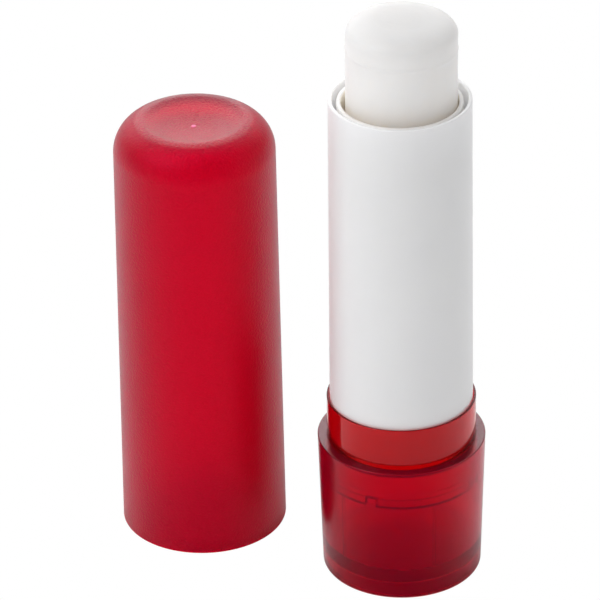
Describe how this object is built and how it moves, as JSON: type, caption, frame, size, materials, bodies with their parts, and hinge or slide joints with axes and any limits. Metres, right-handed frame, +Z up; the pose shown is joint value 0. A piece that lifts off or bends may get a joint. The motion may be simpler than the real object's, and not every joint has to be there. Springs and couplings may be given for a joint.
{
  "type": "swivel lip balm stick",
  "caption": "Swivel lip balm stick with a translucent base, a white barrel, a rounded balm wound part way up, and its translucent cap standing beside it.",
  "frame": {"origin": "centre of the stick's foot, on the surface that it stands on", "axes": "+Z up along the stick, the cap stands on the -X side"},
  "size_m": [0.0446, 0.0192, 0.0697],
  "materials": {
    "frosted_red": "frosted translucent",
    "clear_red": "polished translucent",
    "gloss_white": "glossy",
    "inner_white": "as moulded",
    "balm_wax": "waxy, slightly translucent"
  },
  "bodies": {
    "base": {"base_shell": "frosted_red", "collar": "clear_red", "guide_tube": "inner_white"},
    "barrel": {"barrel": "gloss_white", "spiral_sleeve": "inner_white"},
    "carriage": {"carriage_cup": "inner_white", "balm": "balm_wax"},
    "cap": {"cap": "frosted_red"}
  },
  "joints": [
    {"name": "barrel_turn", "type": "hinge", "parent": "base", "child": "barrel", "pos_m": [0, 0, 0.0175], "axis": [0, 0, 1], "range_deg": [-195, 672]},
    {"name": "carriage_slide", "type": "slide", "parent": "base", "child": "carriage", "axis": [0, 0, 1], "range_m": [-0.00651, 0.02242]},
    {"name": "cap_lift", "type": "slide", "parent": "base", "child": "cap", "axis": [0, 0, 1], "range_m": [0, 0.06]}
  ],
  "couplings": [
    {"joint": "carriage_slide", "follows": "barrel_turn", "m_per_rad": 0.0019099}
  ]
}
